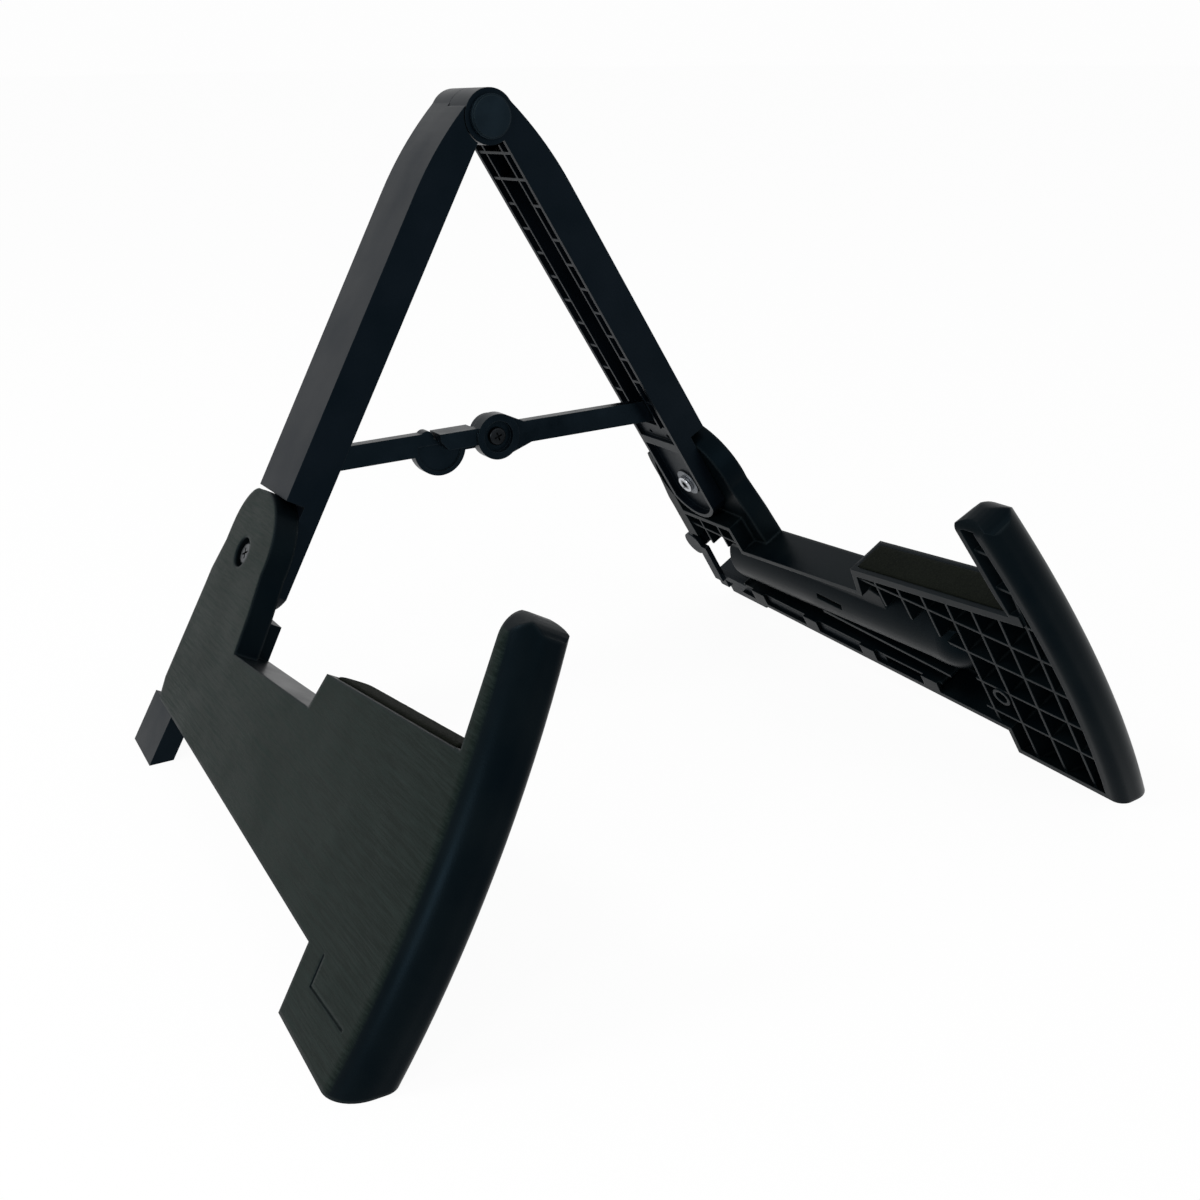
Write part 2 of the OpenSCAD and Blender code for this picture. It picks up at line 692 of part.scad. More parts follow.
module elbow_screw() {
    head = leg_out - recess_d;
    at_elbow() difference() {
        union() {
            translate([0, 0, fold_gap + 0.6]) cylinder(h = head - fold_gap, r = elbow_r);
            translate([0, 0, head + 0.1]) cylinder(h = 2.6, r = elbow_head_r);
        }
        for (a = [0, 90]) rotate(a + 30) translate([-3.4, -0.6, head + 1.6]) cube([6.8, 1.2, 4]);
        translate([0, 0, fold_gap]) cylinder(h = 2, r = elbow_r - 1.2);
    }
}

module elbow_washer() {
    at_elbow() translate([0, 0, fold_gap + nut_t + 0.35]) difference() {
        cylinder(h = washer_t, r = washer_r);
        translate([0, 0, -1]) cylinder(h = washer_t + 2, r = elbow_r);
    }
}

module elbow_nut() {
    at_elbow() translate([0, 0, fold_gap + 0.3]) difference() {
        cylinder(h = nut_t, r = nut_r);
        translate([0, 0, -1]) cylinder(h = nut_t + 2, r = elbow_r);
    }
}

module left_elbow_screw() { color("#50565a") left_side() elbow_screw(); }

module right_elbow_screw() { color("#50565a") right_side() elbow_screw(); }

module left_elbow_washer() { color("#8d9396") left_side() elbow_washer(); }

module right_elbow_washer() { color("#8d9396") right_side() elbow_washer(); }

module left_elbow_nut() { color("#c9cccf") left_side() elbow_nut(); }

module right_elbow_nut() { color("#c9cccf") right_side() elbow_nut(); }

// The strip that slides in the leg, the bar and plate behind it and the block that stands on the floor
module rear_foot() {
    back = -back_reach - 10;
    plate_z = strip_z + strip_t - 1.4;
    at_elbow() on_bottom() {
        translate([-back_reach - 1, leg_wall + slide_gap, strip_z]) cube([back_reach + 1 + strip_reach, strip_h, strip_t]);
        translate([-back_reach - 1, leg_wall + slide_gap, fold_gap]) cube([bar_w, knob_y - leg_wall, bar_t]);
        translate([-back_reach - 5, knob_y, fold_gap]) cylinder(h = bar_t, r = knob_r);
        // neck down to the plate
        translate([-back_reach - 1, -plate_t - rest_gap, strip_z]) cube([bar_w, plate_t + leg_wall + 1, strip_t]);
        translate([back, -plate_t - rest_gap, plate_z]) cube([block_w, plate_t, block_t]);
        translate([back, -big / 4, leg_out - 1.5 - block_t]) cube([block_w, big / 4 - rest_gap, block_t]);
    }
}

module left_rear_foot() { color("#1b1f21") on_floor() left_side() rear_foot(); }

module right_rear_foot() { color("#1b1f21") on_floor() right_side() rear_foot(); }

left_arm();
right_arm();
apex_pin();
apex_cap();
left_link();
right_link();
hub_screw();
left_link_pin();
right_link_pin();
left_leg();
right_leg();
left_pad();
right_pad();
left_elbow_screw();
right_elbow_screw();
left_elbow_washer();
right_elbow_washer();
left_elbow_nut();
right_elbow_nut();
left_rear_foot();
right_rear_foot();
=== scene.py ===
import math

import bpy
from mathutils import Matrix, Vector


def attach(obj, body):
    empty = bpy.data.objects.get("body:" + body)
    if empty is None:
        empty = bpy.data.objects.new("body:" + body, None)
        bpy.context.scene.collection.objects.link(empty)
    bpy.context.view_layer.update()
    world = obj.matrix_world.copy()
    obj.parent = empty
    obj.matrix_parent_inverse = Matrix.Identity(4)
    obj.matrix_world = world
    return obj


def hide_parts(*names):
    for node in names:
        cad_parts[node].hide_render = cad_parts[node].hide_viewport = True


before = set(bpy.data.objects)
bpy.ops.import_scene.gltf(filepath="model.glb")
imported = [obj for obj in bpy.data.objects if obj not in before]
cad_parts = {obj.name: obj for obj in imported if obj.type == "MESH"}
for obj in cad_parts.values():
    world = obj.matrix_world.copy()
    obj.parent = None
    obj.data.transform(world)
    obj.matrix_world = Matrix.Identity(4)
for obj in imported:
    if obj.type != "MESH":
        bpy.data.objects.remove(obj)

print("frame loaded:", len(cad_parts), "CAD nodes")
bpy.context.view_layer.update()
bpy.ops.object.select_all(action="DESELECT")
mm = 0.001
overshoot = 1  # how far a cutting tool stands out of what it cuts, in mm
closeBy = 0.01  # a corner within this of a height counts as at it, in mm


# Small helpers

def hexColour(text):
    channels = [int(text[i:i + 2], 16) / 255 for i in (1, 3, 5)]
    return [c / 12.92 if c <= 0.04045 else ((c + 0.055) / 1.055) ** 2.4 for c in channels] + [1]


# Settings go to inputs by name or number, and to the node itself where no input has that name
def addNode(tree, kind, settings=None, links=None):
    node = tree.nodes.new("ShaderNode" + kind)
    for key, value in (settings or {}).items():
        if isinstance(key, int) or key in node.inputs.keys():
            node.inputs[key].default_value = value
        else:
            setattr(node, key, value)
    for key, socket in (links or {}).items():
        tree.links.new(socket, node.inputs[key])
    return node


# The stand's own frames, the same as in the CAD source, in millimetres and degrees
stance = {"halfOpen": 30, "lean": 3.2, "elbowReach": 230, "legOut": 22, "pivot": (0, 126.9, 287),
          "linkDrop": 181, "linkIn": 9, "bottomDrop": 86.2}
spread, lean = math.radians(stance["halfOpen"]), math.radians(stance["lean"])


# side is -1 for the left and 1 for the right: forward, up along the arm, and outward
def axesOf(side):
    forward = Vector((0, -math.cos(lean), math.sin(lean)))
    up = Vector((side * -math.sin(spread), math.cos(spread) * math.sin(lean),
                 math.cos(spread) * math.cos(lean)))
    outward = Vector((side * math.cos(spread), math.sin(spread) * math.sin(lean),
                      math.sin(spread) * math.cos(lean)))
    return forward, up, outward


# x forward, y up along the arm, z outward, from the elbow
def elbowFrame(side):
    forward, up, outward = axesOf(side)
    place = Vector(stance["pivot"]) - up * stance["elbowReach"]
    turned = Matrix((forward, up, outward)).transposed().to_4x4()
    return Matrix.Translation(place * mm) @ turned


# The elbow's frame moved to the leg's bottom edge and turned level with it
def bottomFrame(side):
    slope = math.atan(math.tan(lean) / math.cos(spread))
    return (elbowFrame(side) @ Matrix.Translation((0, -stance["bottomDrop"] * mm, 0))
            @ Matrix.Rotation(-slope, 4, "Z"))


# The strut's frame: x right, y up, z forward, from the hub
def hubFrame():
    up = Vector((0, math.sin(lean), math.cos(lean)))
    forward = Vector((0, -math.cos(lean), math.sin(lean)))
    drop = stance["linkDrop"] * math.cos(spread) - stance["linkIn"] * math.sin(spread)
    place = Vector(stance["pivot"]) - up * drop
    turned = Matrix((Vector((1, 0, 0)), up, forward)).transposed().to_4x4()
    return Matrix.Translation(place * mm) @ turned


# Materials

def newMaterial(name):
    material = bpy.data.materials.new(name)
    material.use_nodes = True
    tree = material.node_tree
    tree.nodes.clear()
    return material, tree


# Places along and across one side of the stand, so that a grain follows the leg and not the room
def alongLeg(tree, place, side, stretch):
    parts = []
    for axis, size in zip(axesOf(side), stretch):
        along = addNode(tree, "VectorMath", {"operation": "DOT_PRODUCT", 1: axis}, {0: place})
        parts.append(addNode(tree, "Math", {"operation": "MULTIPLY", 1: 1 / (size * mm)},
                             {0: along.outputs["Value"]}))
    joined = addNode(tree, "CombineXYZ", None, {i: p.outputs[0] for i, p in enumerate(parts)})
    return joined.outputs[0]


# Black ABS, injection moulded in a spark-eroded tool: a satin skin with a fine grit, a slow
# mottle in its gloss where the melt flowed, and edges drawn a little lighter, partly as rubbed
# wear and partly as a painted edge highlight. The grit of a real one is about 0.1 mm; it is drawn
# at up to 0.9 mm so that it shows. Sizes are in mm.
plasticSettings = {
    "armAbs": {"dark": "#03060a", "light": "#070b10", "wearAndEdgeHighlight": "#1f2426", "tint": "#86b4d2",
               "specular": 0.12, "roughness": (0.34, 0.44),
               "grit": 0.9, "mottle": 26, "bump": 0.10, "edge": 0.45},
    "legAbs": {"dark": "#03070a", "light": "#080d0f", "wearAndEdgeHighlight": "#22282a", "tint": "#86b4d2",
               "specular": 0.06, "roughness": (0.29, 0.40),
               "grit": 0.9, "mottle": 30, "bump": 0.10, "edge": 0.5,
               "outerEdge": 2.2, "outerFrom": 4, "outerBlend": 2,
               "panel": "#08110c", "panelFacing": (0.93, 0.99),
               "grain": 0.9, "grainLength": 16, "grainLine": (0.42, 0.72),
               "grainBump": 0.7, "grainGloss": 0.22, "grainLight": "#1c2421"},
    "linkAbs": {"dark": "#04080c", "light": "#0a1015", "wearAndEdgeHighlight": "#2a3033", "tint": "#86b4d2",
                "specular": 0.15, "roughness": (0.26, 0.36),
                "grit": 0.7, "mottle": 14, "bump": 0.08, "edge": 0.4},
    "capAbs": {"dark": "#0a1116", "light": "#10181e", "wearAndEdgeHighlight": "#2c3437", "tint": "#8cb6d0",
               "specular": 0.16, "roughness": (0.32, 0.40),
               "grit": 0.6, "mottle": 9, "bump": 0.08, "edge": 0.4},
    "footAbs": {"dark": "#04070a", "light": "#0a0f13", "wearAndEdgeHighlight": "#23292b", "tint": "#86b4d2",
                "specular": 0.13, "roughness": (0.38, 0.50),
                "grit": 0.8, "mottle": 18, "bump": 0.12, "edge": 0.45},
}
# The same for all of them: which part of each noise is used, how deep the grit is, and between
# which cosines, from the softened normal to the flat one, an edge goes from its plain colour to
# the lighter colour of rubbed wear and painted edge highlight
plasticSkin = {"toneRamp": (0.35, 0.68), "glossRange": (0.3, 0.7), "gritDepth": 0.3,
               "edgeTurn": (0.995, 0.86), "edgeSamples": 6, "ior": 1.5}


# side is 0 for a piece without a drawn panel, and -1 or 1 for a leg
def mouldedPlastic(name, side=0):
    s = plasticSettings[name]
    skin = plasticSkin
    material, tree = newMaterial(name + {-1: "Left", 0: "", 1: "Right"}[side])
    coordinates = addNode(tree, "TexCoord")
    place = coordinates.outputs["Object"]
    mottle = addNode(tree, "TexNoise", {"Scale": 1 / (s["mottle"] * mm), "Detail": 3.0},
                     {"Vector": place})
    grit = addNode(tree, "TexNoise", {"Scale": 1 / (s["grit"] * mm), "Detail": 2.0,
                                      "Roughness": 0.6}, {"Vector": place})
    tone = addNode(tree, "ValToRGB", None, {"Fac": mottle.outputs["Fac"]})
    for stop, at, shade in zip(tone.color_ramp.elements, skin["toneRamp"], ("dark", "light")):
        stop.position, stop.color = at, hexColour(s[shade])
    colour = tone.outputs["Color"]
    height = grit.outputs["Fac"]
    gloss = addNode(tree, "MapRange",
                    {"From Min": skin["glossRange"][0], "From Max": skin["glossRange"][1],
                     "To Min": s["roughness"][0], "To Max": s["roughness"][1]},
                    {"Value": mottle.outputs["Fac"]}).outputs[0]
    soft = addNode(tree, "Bevel", {"samples": skin["edgeSamples"], "Radius": s["edge"] * mm})
    if side:
        # the outer edges are moulded rounder than those of the thin ribs
        outward = axesOf(side)[2]
        depth = addNode(tree, "VectorMath", {"operation": "DOT_PRODUCT", 1: outward}, {0: place})
        start = outward.dot(Vector(stance["pivot"])) + s["outerFrom"]
        radius = addNode(tree, "MapRange",
                         {"From Min": start * mm, "From Max": (start + s["outerBlend"]) * mm,
                          "To Min": s["edge"] * mm, "To Max": s["outerEdge"] * mm},
                         {"Value": depth.outputs["Value"]})
        tree.links.new(radius.outputs[0], soft.inputs["Radius"])
        # the outer panel is a little greener, with a fine drawn grain along the leg
        facing = addNode(tree, "VectorMath", {"operation": "DOT_PRODUCT", 1: outward},
                         {0: coordinates.outputs["Normal"]})
        panel = addNode(tree, "MapRange", {"From Min": s["panelFacing"][0],
                                           "From Max": s["panelFacing"][1]},
                        {"Value": facing.outputs["Value"]})
        colour = addNode(tree, "Mix", {"data_type": "RGBA", 7: hexColour(s["panel"])},
                         {0: panel.outputs[0], 6: colour}).outputs[2]
        stretch = (s["grainLength"], s["grain"], s["grain"])
        streak = addNode(tree, "TexNoise", {"Scale": 1.0, "Detail": 4.0, "Roughness": 0.65},
                         {"Vector": alongLeg(tree, place, side, stretch)})
        line = addNode(tree, "MapRange", {"From Min": s["grainLine"][0],
                                          "From Max": s["grainLine"][1]},
                       {"Value": streak.outputs["Fac"]})
        strength = addNode(tree, "Math", {"operation": "MULTIPLY"},
                           {0: line.outputs[0], 1: panel.outputs[0]}).outputs[0]
        colour = addNode(tree, "Mix", {"data_type": "RGBA", 7: hexColour(s["grainLight"])},
                         {0: strength, 6: colour}).outputs[2]
        height = addNode(tree, "Math", {"operation": "MULTIPLY_ADD",
                                        1: s["grainBump"] / s["bump"]},
                         {0: strength, 2: height}).outputs[0]
        gloss = addNode(tree, "Math", {"operation": "MULTIPLY_ADD", 1: s["grainGloss"]},
                        {0: strength, 2: gloss}).outputs[0]
    # edges are drawn lighter, partly as rubbed wear and partly as a painted edge highlight, where
    # the softened normal leaves the flat one
    flat = addNode(tree, "NewGeometry").outputs["Normal"]
    turn = addNode(tree, "VectorMath", {"operation": "DOT_PRODUCT"},
                   {0: soft.outputs[0], 1: flat})
    wornAndHighlit = addNode(tree, "MapRange", {"From Min": skin["edgeTurn"][0],
                                      "From Max": skin["edgeTurn"][1]},
                   {"Value": turn.outputs["Value"]})
    patch = addNode(tree, "Math", {"operation": "MULTIPLY"},
                    {0: wornAndHighlit.outputs[0], 1: mottle.outputs["Fac"]})
    # mixes in the lighter edge colour in patches of the mottle: rubbed wear, and a painted edge
    # highlight along every edge
    rubbedAndHighlit = addNode(tree, "Mix", {"data_type": "RGBA", 7: hexColour(s["wearAndEdgeHighlight"])},
                     {0: patch.outputs[0], 6: colour})
    bump = addNode(tree, "Bump", {"Strength": s["bump"], "Distance": skin["gritDepth"] * mm},
                   {"Height": height, "Normal": soft.outputs[0]})
    shader = addNode(tree, "BsdfPrincipled",
                     {"Specular IOR Level": s["specular"], "IOR": skin["ior"],
                      "Specular Tint": hexColour(s["tint"])},
                     {"Base Color": rubbedAndHighlit.outputs[2], "Roughness": gloss,
                      "Normal": bump.outputs[0]})
    addNode(tree, "OutputMaterial", None, {"Surface": shader.outputs[0]})
    return material


# Closed-cell foam, cut from a sheet: dull brown-black, with open cells of about 1 mm across
# the cut skin, and painted shade darkening the sunken ground between the cells in random patches
foamSettings = {"skin": "#11140f", "pitShade": "#060807", "cell": 1.1, "cellWall": (0.15, 0.65),
                "patch": 12, "bump": 0.55, "pitDepth": 0.35, "specular": 0.06, "roughness": 0.93}


def cutFoam():
    s = foamSettings
    material, tree = newMaterial("closedCellFoam")
    place = addNode(tree, "TexCoord").outputs["Object"]
    cells = addNode(tree, "TexVoronoi", {"Scale": 1 / (s["cell"] * mm), "Randomness": 1.0},
                    {"Vector": place})
    patch = addNode(tree, "TexNoise", {"Scale": 1 / (s["patch"] * mm), "Detail": 4.0},
                    {"Vector": place})
    wall = addNode(tree, "MapRange", {"From Min": s["cellWall"][0], "From Max": s["cellWall"][1]},
                   {"Value": cells.outputs["Distance"]})
    pitShadeMask = addNode(tree, "Math", {"operation": "MULTIPLY"},
                    {0: wall.outputs[0], 1: patch.outputs["Fac"]})
    # the pit colour is painted shade where the bump sinks between the cells, laid on in random
    # patches
    mix = addNode(tree, "Mix", {"data_type": "RGBA", 6: hexColour(s["skin"]),
                                7: hexColour(s["pitShade"])}, {0: pitShadeMask.outputs[0]})
    bump = addNode(tree, "Bump", {"Strength": s["bump"], "Distance": s["pitDepth"] * mm,
                                  "invert": True}, {"Height": cells.outputs["Distance"]})
    shader = addNode(tree, "BsdfPrincipled",
                     {"Specular IOR Level": s["specular"], "Roughness": s["roughness"]},
                     {"Base Color": mix.outputs[2], "Normal": bump.outputs[0]})
    addNode(tree, "OutputMaterial", None, {"Surface": shader.outputs[0]})
    return material


# Plated steels: zinc-plated nuts, bright; washers whose zinc has gone dull; elbow screws with a
# grey passivated skin; and the hub screw and link pins in black oxide, dark and oily. All are
# clouded over 1 to 2 mm and finely grained from turning and plating.
steelSettings = {
    "zincSteel": {"base": "#c4c7cb", "stain": "#94979c", "roughness": (0.20, 0.34),
                  "cloud": 1.6, "bump": 0.12},
    "dullZinc": {"base": "#74787d", "stain": "#4f5357", "roughness": (0.36, 0.50),
                 "cloud": 2.2, "bump": 0.12},
    "greySteel": {"base": "#565a5e", "stain": "#303336", "roughness": (0.24, 0.38),
                  "cloud": 1.4, "bump": 0.10},
    "blackSteel": {"base": "#24272a", "stain": "#151719", "roughness": (0.28, 0.42),
                   "cloud": 1.4, "bump": 0.10},
}
steelSkin = {"grain": 0.25, "grainDepth": 0.05, "glossRange": (0.3, 0.7)}


def platedSteel(name):
    s = steelSettings[name]
    skin = steelSkin
    material, tree = newMaterial(name)
    place = addNode(tree, "TexCoord").outputs["Object"]
    cloud = addNode(tree, "TexNoise", {"Scale": 1 / (s["cloud"] * mm), "Detail": 4.0},
                    {"Vector": place})
    fine = addNode(tree, "TexNoise", {"Scale": 1 / (skin["grain"] * mm), "Detail": 2.0},
                   {"Vector": place})
    mix = addNode(tree, "Mix", {"data_type": "RGBA", 6: hexColour(s["base"]),
                                7: hexColour(s["stain"])}, {0: cloud.outputs["Fac"]})
    gloss = addNode(tree, "MapRange",
                    {"From Min": skin["glossRange"][0], "From Max": skin["glossRange"][1],
                     "To Min": s["roughness"][0], "To Max": s["roughness"][1]},
                    {"Value": cloud.outputs["Fac"]})
    bump = addNode(tree, "Bump", {"Strength": s["bump"], "Distance": skin["grainDepth"] * mm},
                   {"Height": fine.outputs["Fac"]})
    shader = addNode(tree, "BsdfPrincipled", {"Metallic": 1.0},
                     {"Base Color": mix.outputs[2], "Roughness": gloss.outputs[0],
                      "Normal": bump.outputs[0]})
    addNode(tree, "OutputMaterial", None, {"Surface": shader.outputs[0]})
    return material


finishes = {
    "arm": mouldedPlastic("armAbs"),
    "leftLeg": mouldedPlastic("legAbs", -1),
    "rightLeg": mouldedPlastic("legAbs", 1),
    "link": mouldedPlastic("linkAbs"),
    "cap": mouldedPlastic("capAbs"),
    "foot": mouldedPlastic("footAbs"),
    "foam": cutFoam(),
    "zinc": platedSteel("zincSteel"),
    "dullZinc": platedSteel("dullZinc"),
    "black": platedSteel("blackSteel"),
    "grey": platedSteel("greySteel"),
}
nodeFinish = {"left_leg": "leftLeg", "right_leg": "rightLeg", "apex_pin": "cap",
              "apex_cap": "cap", "hub_screw": "black"}
for word in ("left", "right"):
    nodeFinish.update({
        word + "_arm": "arm", word + "_link": "link", word + "_link_pin": "black",
        word + "_rear_foot": "foot", word + "_pad": "foam", word + "_elbow_screw": "grey",
        word + "_elbow_washer": "dullZinc", word + "_elbow_nut": "zinc"})
for nodeName, finish in nodeFinish.items():
    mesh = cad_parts[nodeName].data
    mesh.materials.clear()
    mesh.materials.append(finishes[finish])
print("materials on", len(nodeFinish), "CAD nodes")


# New pieces

def selectOnly(piece):
    bpy.ops.object.select_all(action="DESELECT")
    piece.select_set(True)
    bpy.context.view_layer.objects.active = piece


# In edit mode, selects the edges that pass a test on their two corners, in millimetres
def selectEdges(piece, test):
    bpy.ops.mesh.select_mode(type="EDGE")
    bpy.ops.mesh.select_all(action="DESELECT")
    bpy.ops.object.mode_set(mode="OBJECT")
    verts = piece.data.vertices
    for edge in piece.data.edges:
        edge.select = test(verts[edge.vertices[0]].co / mm, verts[edge.vertices[1]].co / mm)
    bpy.ops.object.mode_set(mode="EDIT")


# Rounds the edges in the top face (upper) or the bottom face of a turned piece
def roundRim(piece, upper, height, width, segments):
    if upper:
        selectEdges(piece, lambda a, b: min(a.z, b.z) > height - closeBy)
    else:
        selectEdges(piece, lambda a, b: max(a.z, b.z) < height + closeBy)
    bpy.ops.mesh.bevel(offset=width * mm, segments=segments, affect="EDGES")


# A round blank that stands along z, from one height to another
def addTurned(radius, low, high, vertices=64, across=(0, 0)):
    bpy.ops.object.select_all(action="DESELECT")
    bpy.ops.mesh.primitive_cylinder_add(
        vertices=vertices, radius=radius * mm, depth=(high - low) * mm,
        location=(across[0] * mm, across[1] * mm, (low + high) / 2 * mm))
    bpy.ops.object.transform_apply(location=True)
    return bpy.context.active_object


def applyAll(piece):
    selectOnly(piece)
    for modifier in list(piece.modifiers):
        bpy.ops.object.modifier_apply(modifier=modifier.name)


# Joins or cuts the piece with each tool in turn, and removes the tools
def combine(piece, steps):
    for operation, tool in steps:
        cut = piece.modifiers.new("cut", "BOOLEAN")
        cut.operation, cut.object, cut.solver = operation, tool, "EXACT"
        applyAll(piece)
        bpy.data.objects.remove(tool)


# Puts the finished mesh in its place; the object itself stays at the origin
def settle(piece, matrix, name, finish, smooth=35):
    piece.data.transform(matrix)
    if matrix.determinant() < 0:
        piece.data.flip_normals()
    piece.name = piece.data.name = name
    piece.data.materials.clear()
    piece.data.materials.append(finishes[finish])
    selectOnly(piece)
    bpy.ops.object.shade_smooth_by_angle(angle=math.radians(smooth))


# Foam strips that a guitar rests on: cut square, glued in a seat, with rubbed edges and a
# slightly crowned top. start, bottom and near are measured from the step of the leg.
padPiece = {"start": 3.2, "length": 102, "bottom": -2.18, "height": 3.6, "near": -19, "width": 16,
            "stepX": 131, "stepY": -17.5, "rise": 5.5, "edge": 0.9, "voxel": 0.8,
            "crown": 0.5, "endPress": 0.6, "endRound": 2.2,
            "lump": 3.2, "wobble": 0.14, "smoothing": 0.5, "smoothSteps": 3, "shadeAngle": 60}


def makePad(side, name, body, node):
    s = padPiece
    bpy.ops.mesh.primitive_cube_add(size=1)
    pad = bpy.context.active_object
    pad.scale = (s["length"] * mm, s["height"] * mm, s["width"] * mm)
    bpy.ops.object.transform_apply(scale=True)
    bpy.ops.object.mode_set(mode="EDIT")
    bpy.ops.mesh.select_all(action="SELECT")
    bpy.ops.mesh.bevel(offset=s["edge"] * mm, segments=3, affect="EDGES")
    bpy.ops.object.mode_set(mode="OBJECT")
    pad.data.remesh_voxel_size = s["voxel"] * mm
    bpy.ops.object.voxel_remesh()
    for v in pad.data.vertices:  # crown across the strip, and the ends pressed down
        high = max(0, v.co.y / mm / s["height"] + 0.5)
        across, along = v.co.z / mm / (s["width"] / 2), abs(v.co.x) / mm - s["length"] / 2
        end = max(0, 1 + along / s["endRound"])
        v.co.y -= high * (s["crown"] * across ** 4 + s["endPress"] * end ** 2) * mm
    wobble = bpy.data.textures.new(name + "Wobble", "CLOUDS")
    wobble.noise_scale = s["lump"] * mm
    push = pad.modifiers.new("wobble", "DISPLACE")
    push.texture, push.strength, push.mid_level = wobble, s["wobble"] * mm, 1.0
    smooth = pad.modifiers.new("smooth", "SMOOTH")
    smooth.factor, smooth.iterations = s["smoothing"], s["smoothSteps"]
    applyAll(pad)
    centre = Vector((s["start"] + s["length"] / 2, s["bottom"] + s["height"] / 2,
                     s["near"] + s["width"] / 2)) * mm
    step = Vector((s["stepX"], s["stepY"], stance["legOut"])) * mm
    seat = (elbowFrame(side) @ Matrix.Translation(step)
            @ Matrix.Rotation(math.radians(s["rise"]), 4, "Z") @ Matrix.Translation(centre))
    settle(pad, seat, name, "foam", s["shadeAngle"])
    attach(pad, body)
    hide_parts(node)


makePad(-1, "leftPadFoam", "left_leg", "left_pad")
makePad(1, "rightPadFoam", "right_leg", "right_pad")
print("foam pads made")


# Cross-recess screws, pan head: a domed head, a tapered cross and a plain shank. Heights are
# measured along the screw, and the elbow screw's end is drilled.
screwPieces = {
    "elbow": {"head": 5.6, "headFrom": 17.9, "headHeight": 2.6, "round": 1.5, "shank": 3.0,
              "from": 1.0, "tip": 0.4, "cross": 6.6, "slot": 1.25, "deep": 1.7, "taper": 0.72,
              "turn": 30, "hollow": 1.8, "hollowDeep": 1.5, "finish": "grey"},
    "hub": {"head": 4.6, "headFrom": 4.5, "headHeight": 2.2, "round": 1.2, "shank": 2.4,
            "from": 0.3, "tip": 0.4, "cross": 5.2, "slot": 1.05, "deep": 1.4, "taper": 0.72,
            "turn": 20, "hollow": 0, "finish": "black"},
}


def makeScrew(kind, matrix, name, body, node):
    s = screwPieces[kind]
    top = s["headFrom"] + s["headHeight"]
    head = addTurned(s["head"], s["headFrom"], top)
    bpy.ops.object.mode_set(mode="EDIT")
    roundRim(head, True, top, s["round"], 6)
    bpy.ops.object.mode_set(mode="OBJECT")
    shank = addTurned(s["shank"], s["from"], s["headFrom"] + 0.2, 48)  # reaches into the head
    bpy.ops.object.mode_set(mode="EDIT")
    roundRim(shank, False, s["from"], s["tip"], 2)
    bpy.ops.object.mode_set(mode="OBJECT")
    steps = [("UNION", shank)]
    for quarter in (0, 90):
        bpy.ops.mesh.primitive_cube_add(
            size=1, location=(0, 0, (top - s["deep"] / 2 + overshoot) * mm))
        bar = bpy.context.active_object
        bar.scale = (s["cross"] * mm, s["slot"] * mm, (s["deep"] + 2 * overshoot) * mm)
        bar.rotation_euler = (0, 0, math.radians(s["turn"] + quarter))
        bpy.ops.object.transform_apply(location=True, rotation=True, scale=True)
        low = min(v.co.z for v in bar.data.vertices)
        for v in bar.data.vertices:  # the arms of the cross narrow towards the bottom
            if v.co.z < low + closeBy * mm:
                v.co.x, v.co.y = v.co.x * s["taper"], v.co.y * s["taper"]
        steps.append(("DIFFERENCE", bar))
    if s["hollow"]:
        steps.append(("DIFFERENCE", addTurned(s["hollow"], s["from"] - s["hollowDeep"],
                                              s["from"] + s["hollowDeep"], 40)))
    combine(head, steps)
    settle(head, matrix, name, s["finish"])
    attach(head, body)
    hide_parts(node)


makeScrew("elbow", elbowFrame(-1), "leftElbowScrew", "left_arm", "left_elbow_screw")
makeScrew("elbow", elbowFrame(1), "rightElbowScrew", "right_arm", "right_elbow_screw")
makeScrew("hub", hubFrame(), "hubScrew", "right_link", "hub_screw")
print("screws made")


# Turned rings, seen from their low side: the round nuts have a rolled rim and the washers soft
# edges, and each bore opens in a small cone
ringPieces = {
    "nut": {"outer": 5.0, "inner": 3.02, "from": 0.7, "height": 2.4, "round": 0.9,
            "backEdge": 0.15, "mouth": 0.6, "finish": "zinc"},
    "washer": {"outer": 8.0, "inner": 3.02, "from": 3.15, "height": 1.0, "round": 0.3,
               "backEdge": 0.15, "mouth": 0.2, "finish": "dullZinc"},
}
# The cone that opens a bore: how far it reaches past the ring's face and past the mouth's
# depth, how much wider than the mouth it starts, and the share of the bore it narrows to
mouthCone = {"under": 0.05, "over": 0.35, "wider": 0.1, "narrow": 0.9}


def makeRing(kind, side, name, body, node):
    s = ringPieces[kind]
    low, high = s["from"], s["from"] + s["height"]
    ring = addTurned(s["outer"], low, high, 72)
    bpy.ops.object.mode_set(mode="EDIT")
    roundRim(ring, False, low, s["round"], 6)
    roundRim(ring, True, high, s["backEdge"], 2)
    bpy.ops.object.mode_set(mode="OBJECT")
    bore = addTurned(s["inner"], low - overshoot, high + overshoot, 72)
    start, end = low - mouthCone["under"], low + s["mouth"] + mouthCone["over"]
    bpy.ops.mesh.primitive_cone_add(
        vertices=72, radius1=(s["inner"] + s["mouth"] + mouthCone["wider"]) * mm,
        radius2=s["inner"] * mouthCone["narrow"] * mm,
        depth=(end - start) * mm, location=(0, 0, (start + end) / 2 * mm))
    mouth = bpy.context.active_object
    bpy.ops.object.transform_apply(location=True)
    combine(ring, [("DIFFERENCE", bore), ("DIFFERENCE", mouth)])
    settle(ring, elbowFrame(side), name, s["finish"])
    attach(ring, body)
    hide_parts(node)


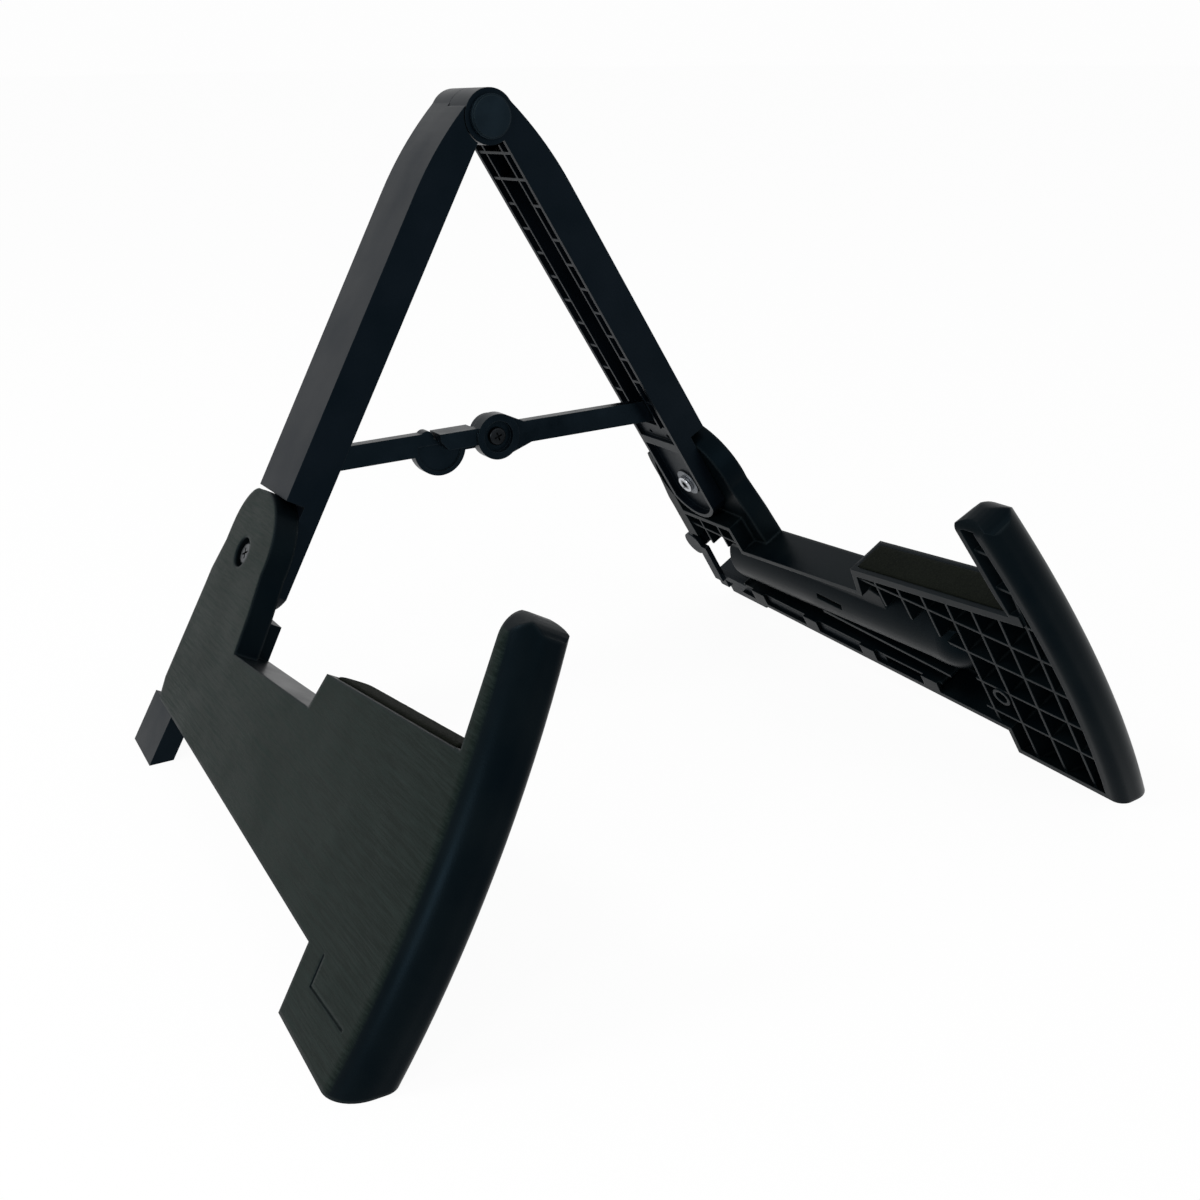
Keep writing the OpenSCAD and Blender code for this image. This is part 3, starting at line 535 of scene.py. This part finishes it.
for side, word in ((-1, "left"), (1, "right")):
    makeRing("nut", side, word + "ElbowNut", word + "_arm", word + "_elbow_nut")
    makeRing("washer", side, word + "ElbowWasher", word + "_arm", word + "_elbow_washer")
print("rings made")


# The peg that a rear foot is pulled out by stands on the flat knob of the CAD's bar, moulded
# with it: a round peg with a softened rim and a shallow dish in its end
pegPiece = {"along": -34.2, "up": 30.2, "radius": 5.9, "from": 3.2, "to": 11.0, "rim": 0.8,
            "dish": 1.4, "deep": 0.5}


def makePeg(side, name, body):
    s = pegPiece
    peg = addTurned(s["radius"], s["from"], s["to"], across=(s["along"], s["up"]))
    bpy.ops.object.mode_set(mode="EDIT")
    roundRim(peg, True, s["to"], s["rim"], 4)
    bpy.ops.mesh.select_mode(type="FACE")
    bpy.ops.mesh.select_all(action="DESELECT")
    bpy.ops.object.mode_set(mode="OBJECT")
    for face in peg.data.polygons:  # the end face, which alone has many corners and looks up
        face.select = face.normal.z > 0.99 and len(face.vertices) > 8
    bpy.ops.object.mode_set(mode="EDIT")
    bpy.ops.mesh.inset(thickness=s["dish"] * mm, depth=0)
    bpy.ops.mesh.inset(thickness=s["deep"] * mm, depth=-s["deep"] * mm)
    bpy.ops.object.mode_set(mode="OBJECT")
    settle(peg, bottomFrame(side), name, "foot")
    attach(peg, body)


makePeg(-1, "leftFootPeg", "left_rear_foot")
makePeg(1, "rightFootPeg", "right_rear_foot")
print("pegs made")


# Floor, light and camera

# The camera and reflections see the floor and the world as near white. To all other rays the
# floor is plain matt white and the world has the strength worldFill, which lights the stand
# together with the lamps.
roomSettings = {"floorRadius": 8, "floorWhite": "#f6f6f6", "showWhite": 0.95,
                "worldFill": 0.62, "worldWhite": 0.985, "aim": (0, 0, 0.13)}
lampSettings = {
    "keyBox": {"place": (-1.05, 0.25, 1.35), "size": 0.42, "power": 9.0},
    "fillBox": {"place": (0.5, -1.3, 1.2), "size": 0.9, "power": 4.0},
    "edgeBox": {"place": (-1.5, -0.75, 0.5), "size": 0.35, "power": 9.0},
}


# 1 for the rays of the camera, of reflections and through glass, and 0 for the rest
def seenRay(tree):
    path = addNode(tree, "LightPath")
    seen = addNode(tree, "Math", {"operation": "MAXIMUM"},
                   {0: path.outputs["Is Camera Ray"], 1: path.outputs["Is Glossy Ray"]})
    return addNode(tree, "Math", {"operation": "MAXIMUM"},
                   {0: seen.outputs[0], 1: path.outputs["Is Transmission Ray"]}).outputs[0]


def makeFloor():
    s = roomSettings
    bpy.ops.mesh.primitive_circle_add(vertices=96, radius=s["floorRadius"], fill_type="NGON")
    floor = bpy.context.active_object
    floor.name = "paleFloor"
    material, tree = newMaterial("paleFloor")
    share = addNode(tree, "Math", {"operation": "MULTIPLY", 1: s["showWhite"]},
                    {0: seenRay(tree)})
    matt = addNode(tree, "BsdfDiffuse", {"Color": hexColour(s["floorWhite"])})
    glow = addNode(tree, "Emission", {"Color": (1, 1, 1, 1), "Strength": 1.0})
    both = addNode(tree, "MixShader", None,
                   {0: share.outputs[0], 1: matt.outputs[0], 2: glow.outputs[0]})
    addNode(tree, "OutputMaterial", None, {"Surface": both.outputs[0]})
    floor.data.materials.append(material)


def makeWorld():
    s = roomSettings
    world = bpy.data.worlds.new("paleRoom")
    bpy.context.scene.world = world
    world.use_nodes = True
    tree = world.node_tree
    tree.nodes.clear()
    strength = addNode(tree, "MapRange", {"To Min": s["worldFill"], "To Max": s["worldWhite"]},
                       {"Value": seenRay(tree)})
    back = addNode(tree, "Background", {"Color": (1, 1, 1, 1)}, {"Strength": strength.outputs[0]})
    addNode(tree, "OutputWorld", None, {"Surface": back.outputs[0]})


def addLamp(name):
    s = lampSettings[name]
    lamp = bpy.data.lights.new(name, "AREA")
    lamp.shape, lamp.size, lamp.energy = "SQUARE", s["size"], s["power"]
    holder = bpy.data.objects.new(name, lamp)
    bpy.context.scene.collection.objects.link(holder)
    holder.location = s["place"]
    toStand = Vector(roomSettings["aim"]) - Vector(s["place"])
    holder.rotation_euler = toStand.to_track_quat("-Z", "Y").to_euler()


# The photograph's view: metres, degrees, and millimetres of lens and film
cameraSettings = {"place": (-0.31209, -0.51414, 0.33618), "yaw": 30.6143, "pitch": 22.5779,
                  "roll": -0.5623, "lens": 43.177, "sensor": 36, "near": 0.01, "far": 50}


def makeCamera():
    s = cameraSettings
    yaw, pitch, roll = (math.radians(s[k]) for k in ("yaw", "pitch", "roll"))
    ahead = Vector((math.sin(yaw) * math.cos(pitch), math.cos(yaw) * math.cos(pitch),
                    -math.sin(pitch)))
    right = Vector((math.cos(yaw), -math.sin(yaw), 0))
    up = right.cross(ahead)
    rolledRight = right * math.cos(roll) + up * math.sin(roll)
    rolledUp = up * math.cos(roll) - right * math.sin(roll)
    camera = bpy.data.objects.new("photoCamera", bpy.data.cameras.new("photoCamera"))
    bpy.context.scene.collection.objects.link(camera)
    camera.data.lens, camera.data.sensor_width = s["lens"], s["sensor"]
    camera.data.clip_start, camera.data.clip_end = s["near"], s["far"]
    turned = Matrix((rolledRight, rolledUp, -ahead)).transposed().to_4x4()
    camera.matrix_world = Matrix.Translation(Vector(s["place"])) @ turned
    bpy.context.scene.camera = camera


makeFloor()
makeWorld()
for lampName in lampSettings:
    addLamp(lampName)
makeCamera()
bpy.context.scene.view_settings.view_transform = "Standard"
print("floor, light and camera set")
